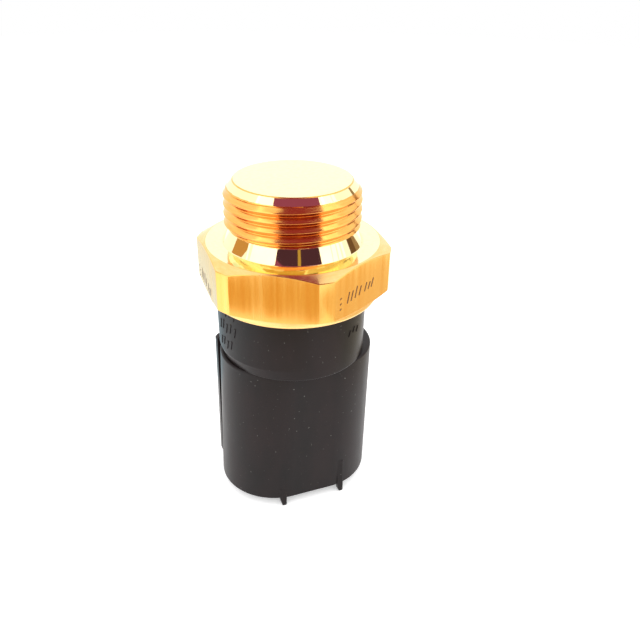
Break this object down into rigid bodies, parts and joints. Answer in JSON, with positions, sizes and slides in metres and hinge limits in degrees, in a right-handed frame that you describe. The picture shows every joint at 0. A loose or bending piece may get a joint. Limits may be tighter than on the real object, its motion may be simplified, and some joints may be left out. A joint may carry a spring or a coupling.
{
  "type": "screw-in thermo switch",
  "caption": "Screw-in thermo switch with a brass hexagon body, closed threaded sensing end and a black plastic plug socket; bimetal discs close its inner contacts.",
  "frame": {"origin": "on the thread's axis, at the lowest point of the plug end, which is the bottom centre of the bounding box", "axes": "+Z along the thread's axis towards the sensing end; +Y towards the flat tab on the back of the plug shroud; X along the shroud's long side"},
  "size_m": [0.0292, 0.0318, 0.0574],
  "materials": {
    "brass": "turned and polished, bright drawn on the hexagon",
    "black_plastic": "black moulded, slightly glossy",
    "tinned_brass": "tin plated",
    "spring_bronze": "rolled strip",
    "contact_silver": "bright",
    "bimetal": "rolled",
    "copper": "rolled",
    "phenolic": "matt moulded",
    "rubber": "matt",
    "ceramic": "matt",
    "epoxy": "glossy poured"
  },
  "bodies": {
    "housing": {"brass_body": "brass", "connector_housing": "black_plastic", "sealing_gasket": "rubber", "contact_base": "phenolic", "terminal_potting": "epoxy", "common_terminal": "tinned_brass", "disc_carrier": "phenolic", "heat_spacer": "copper", "stage_1_terminal": "tinned_brass", "fixed_contact_1": "contact_silver", "spring_rivet_1": "spring_bronze", "stage_2_terminal": "tinned_brass", "fixed_contact_2": "contact_silver", "spring_rivet_2": "spring_bronze"},
    "disc_1": {"bimetal_disc_1": "bimetal"},
    "pin_1": {"push_pin_1": "ceramic"},
    "spring_1": {"contact_spring_1": "spring_bronze", "moving_contact_1": "contact_silver"},
    "disc_2": {"bimetal_disc_2": "bimetal"},
    "pin_2": {"push_pin_2": "ceramic"},
    "spring_2": {"contact_spring_2": "spring_bronze", "moving_contact_2": "contact_silver"}
  },
  "joints": [
    {"name": "disc_1_snap", "type": "slide", "parent": "housing", "child": "disc_1", "axis": [0, 0, -1], "range_m": [0, 0.00045], "stiffness_N_per_m": 100},
    {"name": "pin_1_slide", "type": "slide", "parent": "housing", "child": "pin_1", "axis": [0, 0, -1], "range_m": [0, 0.00045]},
    {"name": "spring_1_flex", "type": "hinge", "parent": "housing", "child": "spring_1", "pos_m": [-0.0041, 0.0055, 0.04786], "axis": [1, 0, 0], "range_deg": [0, 4.69]},
    {"name": "disc_2_snap", "type": "slide", "parent": "housing", "child": "disc_2", "axis": [0, 0, -1], "range_m": [0, 0.00045], "stiffness_N_per_m": 100},
    {"name": "pin_2_slide", "type": "slide", "parent": "housing", "child": "pin_2", "axis": [0, 0, -1], "range_m": [0, 0.00045]},
    {"name": "spring_2_flex", "type": "hinge", "parent": "housing", "child": "spring_2", "pos_m": [0.0041, 0.0055, 0.04786], "axis": [1, 0, 0], "range_deg": [0, 4.69]}
  ],
  "couplings": [
    {"joint": "pin_1_slide", "follows": "disc_1_snap", "ratio": 1},
    {"joint": "spring_1_flex", "follows": "disc_1_snap", "rad_per_m": 181.82},
    {"joint": "pin_2_slide", "follows": "disc_2_snap", "ratio": 1},
    {"joint": "spring_2_flex", "follows": "disc_2_snap", "rad_per_m": 181.82}
  ]
}
